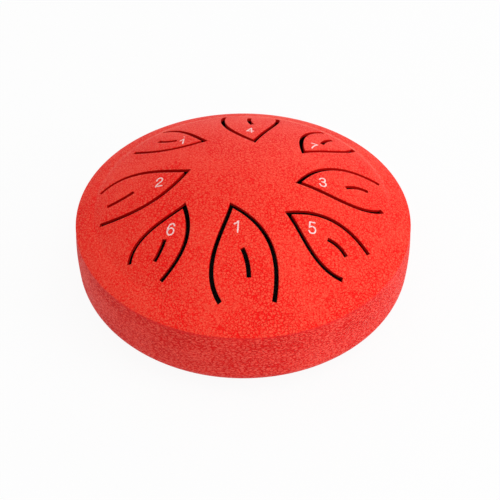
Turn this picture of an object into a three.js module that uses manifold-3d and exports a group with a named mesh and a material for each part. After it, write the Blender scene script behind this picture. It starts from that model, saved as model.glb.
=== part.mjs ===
// Steel tongue drum: a domed playing plate with eight cut tongues, welded to a
// round pan with a sound hole, standing on four screwed rubber feet.
// Millimetres, +Z up. The origin is on the resting plane, under the centre.

import * as THREE from 'three';
import { mergeVertices } from 'three/addons/utils/BufferGeometryUtils.js';
import Module from 'manifold-3d';

const wasm = await Module();
wasm.setup();

// Driving dimensions of the two steel shells
const SHEET = 1.5;
const RIM_RADIUS = 75.0;
const DOME_RISE = 24.5;
const BAND_WIDTH = 8.5;
const BAND_SLOPE_AT_RIM = 37;
const BAND_SLOPE_AT_SHOULDER = 18;
const SHOULDER_WIDTH = 3.7;
const SHOULDER_SLOPE = 34.5;
const LIP_HEIGHT = 1.3;
const WALL_HEIGHT = 30.2;
const WALL_BULGE = 0.45;
const WALL_FLARE = 0.5;
const CORNER_RADIUS = 9.0;
const SOUND_HOLE_RADIUS = 21.0;

// Driving dimensions of the tongues
const SLOT_WIDTH = 1.95;
const ROOT_GAP = 0.3;

// One row for each tongue, clockwise from the front as seen from above.
// rootWidth is taken round the dome's edge, and runout is how far past that edge the
// slot of each side runs. lean turns the tip clockwise round the drum, and the bulges
// are how far the two edges stand out from straight lines between the tip and the root.
// slit gives the tuning slit's two ends and its bow: along is measured from the
// root towards the tip, and side towards the full-bellied edge.
const TONGUES = [
  {
    name: 'tongue_1', azimuth: 271.4, rootWidth: 22.1, length: 42.4, lean: 7.5,
    fullBulge: 7.7, slimBulge: 5.1, runout: { full: 0.2, slim: 0.2 },
    slit: { inner: { along: 21.3, side: 1.3 }, outer: { along: 8.8, side: 2.1 }, bow: 0.7 },
  },
  {
    name: 'tongue_6', azimuth: 228.1, rootWidth: 17.6, length: 31.9, lean: 12.4,
    fullBulge: 5.7, slimBulge: 3.7, runout: { full: -1.6, slim: -0.2 },
    slit: { inner: { along: 14.8, side: 0.8 }, outer: { along: 5.0, side: 1.7 }, bow: 0.4 },
  },
  {
    name: 'tongue_2', azimuth: 183.6, rootWidth: 20.8, length: 39.8, lean: 7.6,
    fullBulge: 7.3, slimBulge: 4.8, runout: { full: 1.7, slim: 1.9 },
    slit: { inner: { along: 15.4, side: 1.1 }, outer: { along: 3.1, side: 1.8 }, bow: 0.7 },
  },
  {
    name: 'tongue_high_1', azimuth: 137.1, rootWidth: 21.7, length: 31.1, lean: 14.3,
    fullBulge: 5.5, slimBulge: 2.1, runout: { full: -2.1, slim: 1.7 },
    slit: { inner: { along: 17.0, side: 1.5 }, outer: { along: 6.9, side: 1.7 }, bow: 1.0 },
  },
  {
    name: 'tongue_4', azimuth: 86.3, rootWidth: 24.8, length: 37.6, lean: 5.4,
    fullBulge: 6.5, slimBulge: 2.5, runout: { full: 2.0, slim: 0.2 },
    slit: { inner: { along: 17.3, side: 0.1 }, outer: { along: 4.5, side: 0.9 }, bow: 0.9 },
  },
  {
    name: 'tongue_7', azimuth: 44.6, rootWidth: 17.7, length: 31.1, lean: 9.5,
    fullBulge: 5.0, slimBulge: 3.0, runout: { full: 1.0, slim: 2.0 },
    slit: { inner: { along: 15.7, side: -0.2 }, outer: { along: 5.0, side: 0.7 }, bow: 0.9 },
  },
  {
    name: 'tongue_3', azimuth: 1.9, rootWidth: 19.0, length: 38.1, lean: 7.8,
    fullBulge: 7.4, slimBulge: 4.9, runout: { full: -0.1, slim: -1.0 },
    slit: { inner: { along: 16.6, side: 0.0 }, outer: { along: 6.0, side: 0.8 }, bow: 1.1 },
  },
  {
    name: 'tongue_5', azimuth: 318.8, rootWidth: 18.7, length: 33.8, lean: 8.0,
    fullBulge: 6.1, slimBulge: 4.1, runout: { full: 0.2, slim: 1.0 },
    slit: { inner: { along: 14.6, side: 0.9 }, outer: { along: 5.0, side: 0.3 }, bow: 1.0 },
  },
];

// Shape of the two kinds of edge: where the curve's two handles stand along the
// straight line from tip to root, and how far out in units of the bulge
const FULL_EDGE = { nearTip: [0.35, 1.335], nearRoot: [0.655, 1.33] };
const SLIM_EDGE = { nearTip: [0.333, 0.37], nearRoot: [0.718, 2.05] };

// Driving dimensions of the feet and what holds them
const FOOT_COUNT = 4;
const FOOT_INSET = 12.5;
const FOOT_HEIGHT = 5.0;
const FOOT_TOP_RADIUS = 6.5;
const FOOT_TREAD_RADIUS = 5.6;
const FOOT_EDGE = 0.6;
const SCREW_RADIUS = 1.45;
const SCREW_CLEARANCE = 0.3;
const SCREW_HEAD_RADIUS = 2.6;
const SCREW_HEAD_HEIGHT = 1.5;
const SCREW_TIP_STANDOUT = 2.5;
const WASHER_RADIUS = 3.1;
const WASHER_THICKNESS = 0.5;
const WASHER_CLEARANCE = 0.3;
const WASHER_SEAT_HEIGHT = 3.0;

// Facet counts
const SHELL_SEGMENTS = 72;
const DOME_STEPS = 7;
const BAND_STEPS = 3;
const WALL_STEPS = 4;
const CORNER_STEPS = 4;
const EDGE_STEPS = 10;
const SLIT_STEPS = 4;
const FOOT_SEGMENTS = 24;
const WASHER_SEGMENTS = 20;
const SCREW_SEGMENTS = 16;

// Heights and radii that follow from the driving dimensions
const slopeOf = (degrees) => Math.tan(THREE.MathUtils.degToRad(degrees));
const baseZ = FOOT_HEIGHT;
const creaseZ = baseZ + WALL_HEIGHT;
const seamZ = creaseZ - LIP_HEIGHT;
const apexZ = creaseZ + DOME_RISE;
const wallInnerRadius = RIM_RADIUS - SHEET;
const bandInnerRadius = RIM_RADIUS - BAND_WIDTH;
const domeEdgeRadius = bandInnerRadius - SHOULDER_WIDTH;
const bandRise = BAND_WIDTH * (slopeOf(BAND_SLOPE_AT_RIM) + slopeOf(BAND_SLOPE_AT_SHOULDER)) / 2;
const shoulderRise = SHOULDER_WIDTH * slopeOf(SHOULDER_SLOPE);
const domeHeight = DOME_RISE - bandRise - shoulderRise;
const domeRadius = (domeEdgeRadius ** 2 + domeHeight ** 2) / (2 * domeHeight);
const wallFootRadius = RIM_RADIUS + WALL_FLARE;
const baseFlatRadius = wallFootRadius - CORNER_RADIUS;
const footCircleRadius = baseFlatRadius - FOOT_INSET;
const screwHoleRadius = SCREW_RADIUS + SCREW_CLEARANCE;
const footRecessRadius = WASHER_RADIUS + WASHER_CLEARANCE;
const screwHeadZ = WASHER_SEAT_HEIGHT - WASHER_THICKNESS;

const redPaint = () => new THREE.MeshStandardMaterial({ color: 0xe42d28, roughness: 0.5, metalness: 0.1 });
const blackRubber = () => new THREE.MeshStandardMaterial({ color: 0x1b1b1d, roughness: 0.85, metalness: 0 });
const zincSteel = () => new THREE.MeshStandardMaterial({ color: 0xb9bcc0, roughness: 0.35, metalness: 1 });

// Solids and geometries

function solidFrom(geometry) {
  const bare = geometry.clone();
  bare.deleteAttribute('normal');
  bare.deleteAttribute('uv');
  const merged = mergeVertices(bare, 1e-4);
  const index = merged.index.array;
  const triangles = [];
  for (let i = 0; i < index.length; i += 3) {
    const [a, b, c] = [index[i], index[i + 1], index[i + 2]];
    if (a !== b && b !== c && c !== a) triangles.push(a, b, c);
  }
  return new wasm.Manifold(new wasm.Mesh({
    numProp: 3,
    vertProperties: new Float32Array(merged.attributes.position.array),
    triVerts: new Uint32Array(triangles),
  }));
}

function geometryFrom(solid) {
  const mesh = solid.getMesh();
  const geometry = new THREE.BufferGeometry();
  geometry.setAttribute('position', new THREE.BufferAttribute(new Float32Array(mesh.vertProperties), 3));
  geometry.setIndex(new THREE.BufferAttribute(new Uint32Array(mesh.triVerts), 1));
  geometry.computeVertexNormals();
  return geometry;
}

// A turned solid: the outline runs anticlockwise in the radius and height plane
function turned(outline, segments) {
  const points = outline.map(([r, z]) => new THREE.Vector2(r, z));
  const geometry = new THREE.LatheGeometry(points, segments);
  geometry.rotateX(Math.PI / 2);
  return geometry;
}

// An upright prism through the whole dome, from an outline seen from above
function cutter(outline) {
  const shape = new THREE.Shape(outline);
  const geometry = new THREE.ExtrudeGeometry(shape, { depth: apexZ + SHEET - seamZ, bevelEnabled: false });
  geometry.translate(0, 0, seamZ);
  return solidFrom(geometry);
}

// Outer profile of the playing plate from the centre to the rim, as [radius, height]
function plateProfile() {
  const points = [];
  const domeCentreZ = apexZ - domeRadius;
  const edgeAngle = Math.asin(domeEdgeRadius / domeRadius);
  for (let i = 0; i <= DOME_STEPS; i += 1) {
    const angle = edgeAngle * i / DOME_STEPS;
    points.push([domeRadius * Math.sin(angle), domeCentreZ + domeRadius * Math.cos(angle)]);
  }
  const rimSlope = slopeOf(BAND_SLOPE_AT_RIM);
  const shoulderSlope = slopeOf(BAND_SLOPE_AT_SHOULDER);
  for (let i = 0; i <= BAND_STEPS; i += 1) {
    const inward = BAND_WIDTH * (1 - i / BAND_STEPS);
    const meanSlope = rimSlope + (shoulderSlope - rimSlope) * inward / BAND_WIDTH / 2;
    points.push([RIM_RADIUS - inward, creaseZ + inward * meanSlope]);
  }
  return points;
}

// The same profile moved one sheet thickness inwards, square to the surface
function offsetInwards(profile) {
  return profile.map(([r, z], i) => {
    const before = profile[Math.max(i - 1, 0)];
    const after = profile[Math.min(i + 1, profile.length - 1)];
    const along = new THREE.Vector2(after[0] - before[0], after[1] - before[1]).normalize();
    if (i === 0) return [0, z - SHEET];
    return [r + along.y * SHEET, z - along.x * SHEET];
  });
}

function plateSolid() {
  const outer = plateProfile();
  const inner = offsetInwards(outer);
  const last = inner.findIndex(([r]) => r > wallInnerRadius);
  const [r0, z0] = inner[last - 1];
  const [r1, z1] = inner[last];
  const cornerZ = z0 + (z1 - z0) * (wallInnerRadius - r0) / (r1 - r0);
  const outline = [
    ...inner.slice(0, last),
    [wallInnerRadius, cornerZ],
    [wallInnerRadius, seamZ],
    [RIM_RADIUS, seamZ],
    ...outer.reverse(),
  ];
  return solidFrom(turned(outline, SHELL_SEGMENTS));
}

// Tongue outlines, seen from above

const polar = (radius, degrees) => new THREE.Vector2(radius, 0)
  .rotateAround(new THREE.Vector2(), THREE.MathUtils.degToRad(degrees));

// The tip, the two slot ends and the middle of the root, for one tongue
function tongueFrame(tongue) {
  const halfAngle = THREE.MathUtils.radToDeg(Math.asin(tongue.rootWidth / 2 / domeEdgeRadius));
  const fullEnd = polar(domeEdgeRadius + tongue.runout.full, tongue.azimuth + halfAngle);
  const slimEnd = polar(domeEdgeRadius + tongue.runout.slim, tongue.azimuth - halfAngle);
  const root = fullEnd.clone().add(slimEnd).multiplyScalar(0.5);
  const along = polar(1, tongue.azimuth + 180 + tongue.lean);
  const side = new THREE.Vector2(along.y, -along.x);
  const tip = root.clone().addScaledVector(along, tongue.length);
  return { fullEnd, slimEnd, root, along, side, tip };
}

// Centre line of the slot along one edge, from the tip to the slot's end
function edgeLine(tip, end, bulge, edge, outward) {
  const chord = end.clone().sub(tip);
  const out = new THREE.Vector2(-chord.y, chord.x).normalize();
  if (out.dot(outward) < 0) out.negate();
  const handle = ([share, reach]) => tip.clone()
    .addScaledVector(chord, share)
    .addScaledVector(out, bulge * reach);
  const curve = new THREE.CubicBezierCurve(tip, handle(edge.nearTip), handle(edge.nearRoot), end);
  return curve.getPoints(EDGE_STEPS);
}

// Outline of a slot of the standard width round a centre line, run on at its ends
function slotOutline(line, runOnAtStart, runOnAtEnd) {
  const left = [];
  const right = [];
  const last = line.length - 1;
  line.forEach((point, i) => {
    const before = line[Math.max(i - 1, 0)];
    const after = line[Math.min(i + 1, last)];
    const along = after.clone().sub(before).normalize();
    const square = new THREE.Vector2(-along.y, along.x).multiplyScalar(SLOT_WIDTH / 2);
    const centre = point.clone();
    if (i === 0) centre.addScaledVector(along, -runOnAtStart);
    if (i === last) centre.addScaledVector(along, runOnAtEnd);
    left.push(centre.clone().add(square));
    right.push(centre.clone().sub(square));
  });
  return [...left, ...right.reverse()];
}

function tongueCutters(tongue) {
  const { fullEnd, slimEnd, root, along, side, tip } = tongueFrame(tongue);
  const fullLine = edgeLine(tip, fullEnd, tongue.fullBulge, FULL_EDGE, side);
  const slimLine = edgeLine(tip, slimEnd, tongue.slimBulge, SLIM_EDGE, side.clone().negate());
  const slotAlong = (line) => cutter(slotOutline(line, SLOT_WIDTH / 2, ROOT_GAP));
  const slots = slotAlong(fullLine).add(slotAlong(slimLine));
  const blade = cutter([...fullLine, ...slimLine.slice(1).reverse()]);
  const rootLine = fullEnd.clone().sub(slimEnd);
  const gap = new THREE.Vector2(rootLine.y, -rootLine.x).setLength(ROOT_GAP);
  const opening = cutter([
    ...fullLine,
    fullEnd.clone().add(gap),
    slimEnd.clone().add(gap),
    ...slimLine.slice(1).reverse(),
  ]);
  const place = (spot) => root.clone()
    .addScaledVector(along, spot.along)
    .addScaledVector(side, spot.side);
  const { inner, outer, bow } = tongue.slit;
  const middle = place({
    along: (inner.along + outer.along) / 2,
    side: (inner.side + outer.side) / 2 + 2 * bow,
  });
  const slitLine = new THREE.QuadraticBezierCurve(place(inner), middle, place(outer)).getPoints(SLIT_STEPS);
  const slit = cutter(slotOutline(slitLine, 0, 0));
  return { hole: opening.add(slots), blade: blade.subtract(slots).subtract(slit) };
}

// The pan, with its wall, rounded corner, flat base, sound hole and screw holes

function panProfile() {
  const wallTop = seamZ;
  const wallFoot = baseZ + CORNER_RADIUS;
  const outer = [];
  const inner = [];
  for (let i = 0; i <= WALL_STEPS; i += 1) {
    const down = i / WALL_STEPS;
    const r = RIM_RADIUS + WALL_BULGE * Math.sin(Math.PI * down) + WALL_FLARE * down;
    const z = wallTop + (wallFoot - wallTop) * down;
    outer.push([r, z]);
    inner.push([r - SHEET, z]);
  }
  for (let i = 1; i <= CORNER_STEPS; i += 1) {
    const angle = Math.PI / 2 * i / CORNER_STEPS;
    const direction = [Math.cos(angle), -Math.sin(angle)];
    outer.push([baseFlatRadius + CORNER_RADIUS * direction[0], wallFoot + CORNER_RADIUS * direction[1]]);
    const innerCorner = CORNER_RADIUS - SHEET;
    inner.push([baseFlatRadius + innerCorner * direction[0], wallFoot + innerCorner * direction[1]]);
  }
  return { outer, inner };
}

function footSpot(i) {
  return polar(footCircleRadius, 45 + 360 * i / FOOT_COUNT);
}

function panSolid() {
  const { outer, inner } = panProfile();
  const outline = [
    [SOUND_HOLE_RADIUS, baseZ],
    ...outer.slice().reverse(),
    ...inner,
    [SOUND_HOLE_RADIUS, baseZ + SHEET],
    [SOUND_HOLE_RADIUS, baseZ],
  ];
  let solid = solidFrom(turned(outline, SHELL_SEGMENTS));
  for (let i = 0; i < FOOT_COUNT; i += 1) {
    const spot = footSpot(i);
    const drill = new THREE.CylinderGeometry(screwHoleRadius, screwHoleRadius, 3 * SHEET, SCREW_SEGMENTS);
    drill.rotateX(Math.PI / 2);
    drill.translate(spot.x, spot.y, baseZ + SHEET / 2);
    solid = solid.subtract(solidFrom(drill));
  }
  return solid;
}

// One rubber foot with its washer and screw, round its own axis

function footGeometry() {
  return turned([
    [screwHoleRadius, WASHER_SEAT_HEIGHT],
    [footRecessRadius, WASHER_SEAT_HEIGHT],
    [footRecessRadius, 0],
    [FOOT_TREAD_RADIUS - FOOT_EDGE, 0],
    [FOOT_TREAD_RADIUS, FOOT_EDGE],
    [FOOT_TOP_RADIUS, FOOT_HEIGHT - FOOT_EDGE],
    [FOOT_TOP_RADIUS, FOOT_HEIGHT],
    [screwHoleRadius, FOOT_HEIGHT],
    [screwHoleRadius, WASHER_SEAT_HEIGHT],
  ], FOOT_SEGMENTS);
}

function washerGeometry() {
  return turned([
    [screwHoleRadius, screwHeadZ],
    [WASHER_RADIUS, screwHeadZ],
    [WASHER_RADIUS, WASHER_SEAT_HEIGHT],
    [screwHoleRadius, WASHER_SEAT_HEIGHT],
    [screwHoleRadius, screwHeadZ],
  ], WASHER_SEGMENTS);
}

function screwGeometry() {
  const tipZ = baseZ + SHEET + SCREW_TIP_STANDOUT;
  return turned([
    [0, screwHeadZ - SCREW_HEAD_HEIGHT],
    [SCREW_HEAD_RADIUS * 0.7, screwHeadZ - SCREW_HEAD_HEIGHT],
    [SCREW_HEAD_RADIUS, screwHeadZ - SCREW_HEAD_HEIGHT / 2],
    [SCREW_HEAD_RADIUS, screwHeadZ],
    [SCREW_RADIUS, screwHeadZ],
    [SCREW_RADIUS, tipZ - SCREW_RADIUS],
    [0, tipZ],
  ], SCREW_SEGMENTS);
}

// Assembly

const drum = new THREE.Group();

function addPiece(name, geometry, material, spot = new THREE.Vector2()) {
  const piece = new THREE.Mesh(geometry, material);
  piece.name = name;
  piece.position.set(spot.x, spot.y, 0);
  drum.add(piece);
}

const plate = plateSolid();
let topShell = plate;
for (const tongue of TONGUES) {
  const { hole, blade } = tongueCutters(tongue);
  topShell = topShell.subtract(hole);
  addPiece(tongue.name, geometryFrom(plate.intersect(blade)), redPaint());
}
addPiece('top_shell', geometryFrom(topShell), redPaint());
addPiece('bottom_shell', geometryFrom(panSolid()), redPaint());
for (let i = 0; i < FOOT_COUNT; i += 1) {
  addPiece(`foot_${i + 1}`, footGeometry(), blackRubber(), footSpot(i));
  addPiece(`foot_washer_${i + 1}`, washerGeometry(), zincSteel(), footSpot(i));
  addPiece(`foot_screw_${i + 1}`, screwGeometry(), zincSteel(), footSpot(i));
}

export default drum;
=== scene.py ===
# Small steel tongue drum: a domed plate with eight numbered tongues, welded to a round
# pan on rubber feet, all coated in red wrinkle paint
import math

import bmesh
import bpy
import numpy as np
from mathutils import Matrix, Vector
from mathutils.geometry import delaunay_2d_cdt, intersect_line_line_2d


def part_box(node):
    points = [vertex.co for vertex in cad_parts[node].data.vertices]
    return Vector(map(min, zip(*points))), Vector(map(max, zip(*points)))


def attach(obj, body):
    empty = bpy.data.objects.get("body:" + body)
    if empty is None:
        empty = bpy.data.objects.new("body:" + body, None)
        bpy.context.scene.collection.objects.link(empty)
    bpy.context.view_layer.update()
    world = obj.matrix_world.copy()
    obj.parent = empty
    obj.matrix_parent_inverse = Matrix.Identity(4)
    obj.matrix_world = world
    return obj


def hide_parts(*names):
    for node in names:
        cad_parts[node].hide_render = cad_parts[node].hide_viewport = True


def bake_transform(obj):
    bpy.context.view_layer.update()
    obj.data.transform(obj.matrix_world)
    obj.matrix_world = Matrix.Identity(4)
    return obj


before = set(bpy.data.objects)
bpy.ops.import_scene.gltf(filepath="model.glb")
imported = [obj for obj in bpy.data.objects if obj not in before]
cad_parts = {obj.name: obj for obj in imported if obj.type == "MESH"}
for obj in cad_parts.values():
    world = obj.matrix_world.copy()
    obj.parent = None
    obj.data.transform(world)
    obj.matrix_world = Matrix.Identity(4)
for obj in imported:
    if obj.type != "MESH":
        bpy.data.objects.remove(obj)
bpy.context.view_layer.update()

MM = 0.001


def slope(degrees):
    return math.tan(math.radians(degrees))


# Driving dimensions of the playing plate
SHEET = 1.5 * MM
RIM_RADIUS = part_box("top_shell")[1][0]
APEX_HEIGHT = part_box("top_shell")[1][2]
SEAM_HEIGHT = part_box("top_shell")[0][2]
CREASE_HEIGHT = 35.2 * MM
BAND_WIDTH = 8.5 * MM
BAND_SLOPE_AT_RIM = 37
BAND_SLOPE_AT_SHOULDER = 18
SHOULDER_WIDTH = 3.7 * MM
SHOULDER_SLOPE = 34.5
SHOULDER_SOFTNESS = 0.3 * MM
RIM_ROUNDING = 0.4 * MM

# Driving dimensions of the pan
WALL_BULGE = 0.45 * MM
WALL_FLARE = 0.5 * MM
CORNER_RADIUS = 9.0 * MM
SOUND_HOLE_RADIUS = 21.0 * MM
BASE_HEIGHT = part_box("bottom_shell")[0][2]

# Driving dimensions of the slots that free the tongues
SLOT_WIDTH = 1.95 * MM
LIP_RADIUS = 0.18 * MM

# Where the handles of the two kinds of edge stand along the straight line from tip to
# root, and how far out in units of the bulge
FULL_EDGE = ((0.35, 1.335), (0.655, 1.33))
SLIM_EDGE = ((0.333, 0.37), (0.718, 2.05))

# One row for each tongue: azimuth and lean in degrees, the rest in millimetres. The runout
# is how far past the dome's edge its full and its slim slot run. A slit's ends are given
# along the tongue from its root, and sideways towards its full edge. The digit is placed
# by x and y seen from above, and turned in degrees.
TONGUES = {
    "tongue_1": dict(azimuth=271.4, width=22.1, length=42.4, lean=7.5, full=7.7, slim=5.1,
                     runout=(0.2, 0.2), slit=((21.3, 1.3), (8.8, 2.1)), bow=0.7,
                     digit="1", digit_at=(-2.7, -31.0), digit_turn=-4),
    "tongue_6": dict(azimuth=228.1, width=17.6, length=31.9, lean=12.4, full=5.7, slim=3.7,
                     runout=(-1.6, -0.2), slit=((14.8, 0.8), (5.0, 1.7)), bow=0.4,
                     digit="6", digit_at=(-30.5, -29.0), digit_turn=-10),
    "tongue_2": dict(azimuth=183.6, width=20.8, length=39.8, lean=7.6, full=7.3, slim=4.8,
                     runout=(1.7, 1.9), slit=((15.4, 1.1), (3.1, 1.8)), bow=0.7,
                     digit="2", digit_at=(-36.8, -0.5), digit_turn=-3),
    "tongue_high_1": dict(azimuth=137.1, width=21.7, length=31.1, lean=14.3, full=5.5, slim=2.1,
                          runout=(-2.1, 1.7), slit=((17.0, 1.5), (6.9, 1.7)), bow=1.0,
                          digit="1", digit_at=(-28.0, 30.1), digit_turn=-3),
    "tongue_4": dict(azimuth=86.3, width=24.8, length=37.6, lean=5.4, full=6.5, slim=2.5,
                     runout=(2.0, 0.2), slit=((17.3, 0.1), (4.5, 0.9)), bow=0.9,
                     digit="4", digit_at=(3.0, 36.8), digit_turn=0),
    "tongue_7": dict(azimuth=44.6, width=17.7, length=31.1, lean=9.5, full=5.0, slim=3.0,
                     runout=(1.0, 2.0), slit=((15.7, -0.2), (5.0, 0.7)), bow=0.9,
                     digit="7", digit_at=(32.2, 27.2), digit_turn=-12),
    "tongue_3": dict(azimuth=1.9, width=19.0, length=38.1, lean=7.8, full=7.4, slim=4.9,
                     runout=(-0.1, -1.0), slit=((16.6, 0.0), (6.0, 0.8)), bow=1.1,
                     digit="3", digit_at=(34.7, -1.3), digit_turn=0),
    "tongue_5": dict(azimuth=318.8, width=18.7, length=33.8, lean=8.0, full=6.1, slim=4.1,
                     runout=(0.2, 1.0), slit=((14.6, 0.9), (5.0, 0.3)), bow=1.0,
                     digit="5", digit_at=(28.9, -28.6), digit_turn=0),
}
HIGH_OCTAVE = ("tongue_high_1",)

# Printed digits. Each is drawn in strokes: handles of a straight or curved line, in
# shares of the digit's height, across and up from its lower left corner.
DIGIT_HEIGHT = 6.0 * MM
HIGH_DIGIT_HEIGHT = 5.6 * MM
STROKE_WIDTH = 0.63 * MM
INK_THICKNESS = 0.05 * MM
INK_SUNK = 0.02 * MM
DIGIT_MIDDLE = (0.29, 0.5)
DOT_AT = (0.36, 1.40)
STROKES = {
    "1": [((0.10, 0.70), (0.27, 0.77), (0.36, 0.94)), ((0.37, 0.94), (0.37, 0.06))],
    "2": [((0.08, 0.68), (0.10, 1.04), (0.52, 1.04), (0.50, 0.68)),
          ((0.50, 0.68), (0.48, 0.46), (0.12, 0.34), (0.06, 0.06)),
          ((0.06, 0.06), (0.52, 0.06))],
    "3": [((0.08, 0.74), (0.14, 1.02), (0.50, 1.00), (0.48, 0.73)),
          ((0.48, 0.73), (0.46, 0.54), (0.32, 0.53), (0.24, 0.53)),
          ((0.24, 0.53), (0.46, 0.53), (0.53, 0.42), (0.52, 0.30)),
          ((0.52, 0.30), (0.50, -0.03), (0.12, -0.03), (0.06, 0.26))],
    "4": [((0.42, 0.06), (0.42, 0.94)), ((0.42, 0.94), (0.05, 0.32)),
          ((0.05, 0.32), (0.57, 0.32))],
    "5": [((0.50, 0.94), (0.15, 0.94)), ((0.15, 0.94), (0.10, 0.50)),
          ((0.10, 0.50), (0.28, 0.68), (0.54, 0.60), (0.52, 0.31)),
          ((0.52, 0.31), (0.50, -0.03), (0.12, -0.03), (0.06, 0.22))],
    "6": [((0.50, 0.76), (0.46, 1.00), (0.22, 1.00), (0.12, 0.78)),
          ((0.12, 0.78), (0.04, 0.60), (0.03, 0.30), (0.12, 0.17)),
          ((0.12, 0.17), (0.20, 0.01), (0.42, 0.02), (0.50, 0.18)),
          ((0.50, 0.18), (0.58, 0.36), (0.48, 0.60), (0.30, 0.59)),
          ((0.30, 0.59), (0.18, 0.58), (0.10, 0.48), (0.08, 0.36))],
    "7": [((0.06, 0.94), (0.53, 0.94)), ((0.53, 0.94), (0.36, 0.74), (0.24, 0.40), (0.22, 0.06))],
}

# Driving dimensions of the feet and what holds them. A screw's domed end is given by
# radius and rise in millimetres, from its middle outwards.
FOOT_NUMBERS = (1, 2, 3, 4)
SCREW_RADIUS = 1.45 * MM
THREAD_DEPTH = 0.22 * MM
THREAD_PITCH = 0.5 * MM
HOLE_RADIUS = 1.75 * MM
SCREW_HEAD_RADIUS = 2.6 * MM
SCREW_HEAD_HEIGHT = 1.5 * MM
SCREW_HEAD_EDGE = 1.15 * MM
SCREW_DOME = ((0, 0), (0.9, 0.03), (1.6, 0.18), (2.2, 0.5), (2.5, 0.85))
CROSS_ARM = (2.9 * MM, 0.6 * MM, 2.0 * MM)
CROSS_TAPER = 0.55
WASHER_RADIUS = 3.1 * MM
WASHER_THICKNESS = 0.5 * MM
SEAT_HEIGHT = 3.0 * MM
RECESS_RADIUS = 3.4 * MM
FOOT_TOP_RADIUS = 6.5 * MM
FOOT_TREAD_RADIUS = 5.6 * MM

# Mesh fineness: the size of a facet and the number of steps in each stretch
FACET = 1.6 * MM
SHOULDER_FACET = 0.7 * MM
FINE_PAST_SHOULDER = 3 * MM
RINGS_DRAWN_PAST_DOME = 2 * MM
TOUCHING = 0.001 * MM
NEAR_RIM = 0.1 * MM
SHARP = math.radians(38)
LIP_STEPS = 3
EDGE_STEPS = 26
SLIT_STEPS = 8
ROOT_STEPS = 12
STROKE_STEPS = 9
END_CORNERS = 12
BAND_RINGS = 4
RIM_RINGS = 5
WALL_RINGS = 15
CORNER_STEPS = 14
BASE_STEPS = 23
HOLE_EDGE_STEPS = 8
PAN_TURN_STEPS = 200
FOOT_TURN_STEPS = 64
SCREW_TURN_STEPS = 48
DRILL_TURN_STEPS = 32

# Shape of the playing plate: its height and tilt at any distance from the middle
dome_edge = RIM_RADIUS - BAND_WIDTH - SHOULDER_WIDTH
band_rise = BAND_WIDTH * (slope(BAND_SLOPE_AT_RIM) + slope(BAND_SLOPE_AT_SHOULDER)) / 2
dome_height = APEX_HEIGHT - CREASE_HEIGHT - band_rise - SHOULDER_WIDTH * slope(SHOULDER_SLOPE)
dome_radius = (dome_edge ** 2 + dome_height ** 2) / (2 * dome_height)


def plate_section():
    """Distances from the middle, with the height and the tilt of the plate at each."""
    step = 0.02 * MM
    reach = np.arange(0, RIM_RADIUS + step / 2, step)
    inward = RIM_RADIUS - reach
    at_rim, at_shoulder = slope(BAND_SLOPE_AT_RIM), slope(BAND_SLOPE_AT_SHOULDER)
    steepness = np.where(
        reach < dome_edge,
        reach / np.sqrt(dome_radius ** 2 - reach ** 2),
        np.where(inward > BAND_WIDTH, slope(SHOULDER_SLOPE),
                 at_rim + (at_shoulder - at_rim) * inward / BAND_WIDTH))
    half = round(SHOULDER_SOFTNESS / step)
    window = np.ones(2 * half + 1) / (2 * half + 1)
    steepness = np.convolve(np.pad(steepness, half, mode="edge"), window, "valid")
    steepness[0] = 0
    fall = np.concatenate([[0], np.cumsum((steepness[1:] + steepness[:-1]) / 2 * step)])
    height = CREASE_HEIGHT + fall[-1] - fall
    tilt = np.arctan(steepness)
    start = RIM_RADIUS - RIM_ROUNDING * (1 - math.sin(tilt[-1]))
    rounded = reach > start
    start_height = np.interp(start, reach, height)
    centre = RIM_RADIUS - RIM_ROUNDING
    beyond = np.clip((reach[rounded] - centre) / RIM_ROUNDING, 0, 1)
    height[rounded] = (start_height - RIM_ROUNDING * math.cos(tilt[-1])
                       + RIM_ROUNDING * np.sqrt(1 - beyond ** 2))
    tilt[rounded] = np.arcsin(beyond)
    return reach, height, tilt, start


section_reach, section_height, section_tilt, rounding_start = plate_section()


def on_plate(x, y, depth):
    """The point at a depth below the plate's outer face, square to it, over x and y."""
    reach = math.hypot(x, y)
    height = np.interp(reach, section_reach, section_height)
    tilt = np.interp(reach, section_reach, section_tilt)
    out = (x / reach, y / reach) if reach > 1e-9 else (0, 0)
    sideways = depth * math.sin(tilt)
    return Vector((x - out[0] * sideways, y - out[1] * sideways, height - depth * math.cos(tilt)))


# Outlines seen from above, as arrays of points

def polar(radius, degrees):
    angle = math.radians(degrees)
    return radius * np.array([math.cos(angle), math.sin(angle)])


def bezier(handles, steps):
    t = np.linspace(0, 1, steps + 1)[:, None]
    n = len(handles) - 1
    return sum(math.comb(n, i) * (1 - t) ** (n - i) * t ** i * np.asarray(handle)
               for i, handle in enumerate(handles))


def beside(line, distance):
    """The line moved sideways, to its left for a positive distance."""
    along = np.gradient(line, axis=0)
    along /= np.linalg.norm(along, axis=1)[:, None]
    return line + distance * np.stack([-along[:, 1], along[:, 0]], axis=1)


def joined_at_tip(first, second):
    """One line from the first's end to the second's, turning where they cross at the tip."""
    run_on = 4 * SLOT_WIDTH
    lengthened = []
    for line in (first, second):
        back = line[0] - line[1]
        lengthened.append(np.vstack([line[0] + back / np.linalg.norm(back) * run_on, line]))
    a, b = lengthened
    for i in range(len(a) - 1):
        for j in range(len(b) - 1):
            crossing = intersect_line_line_2d(a[i], a[i + 1], b[j], b[j + 1])
            if crossing:
                return np.vstack([a[:i:-1], crossing, b[j + 1:]])
    raise ValueError("the two edges don't meet at the tip")


def anticlockwise(outline):
    x, y = outline.T
    area = np.sum(x * np.roll(y, -1) - np.roll(x, -1) * y)
    return outline if area > 0 else outline[::-1]


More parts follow.
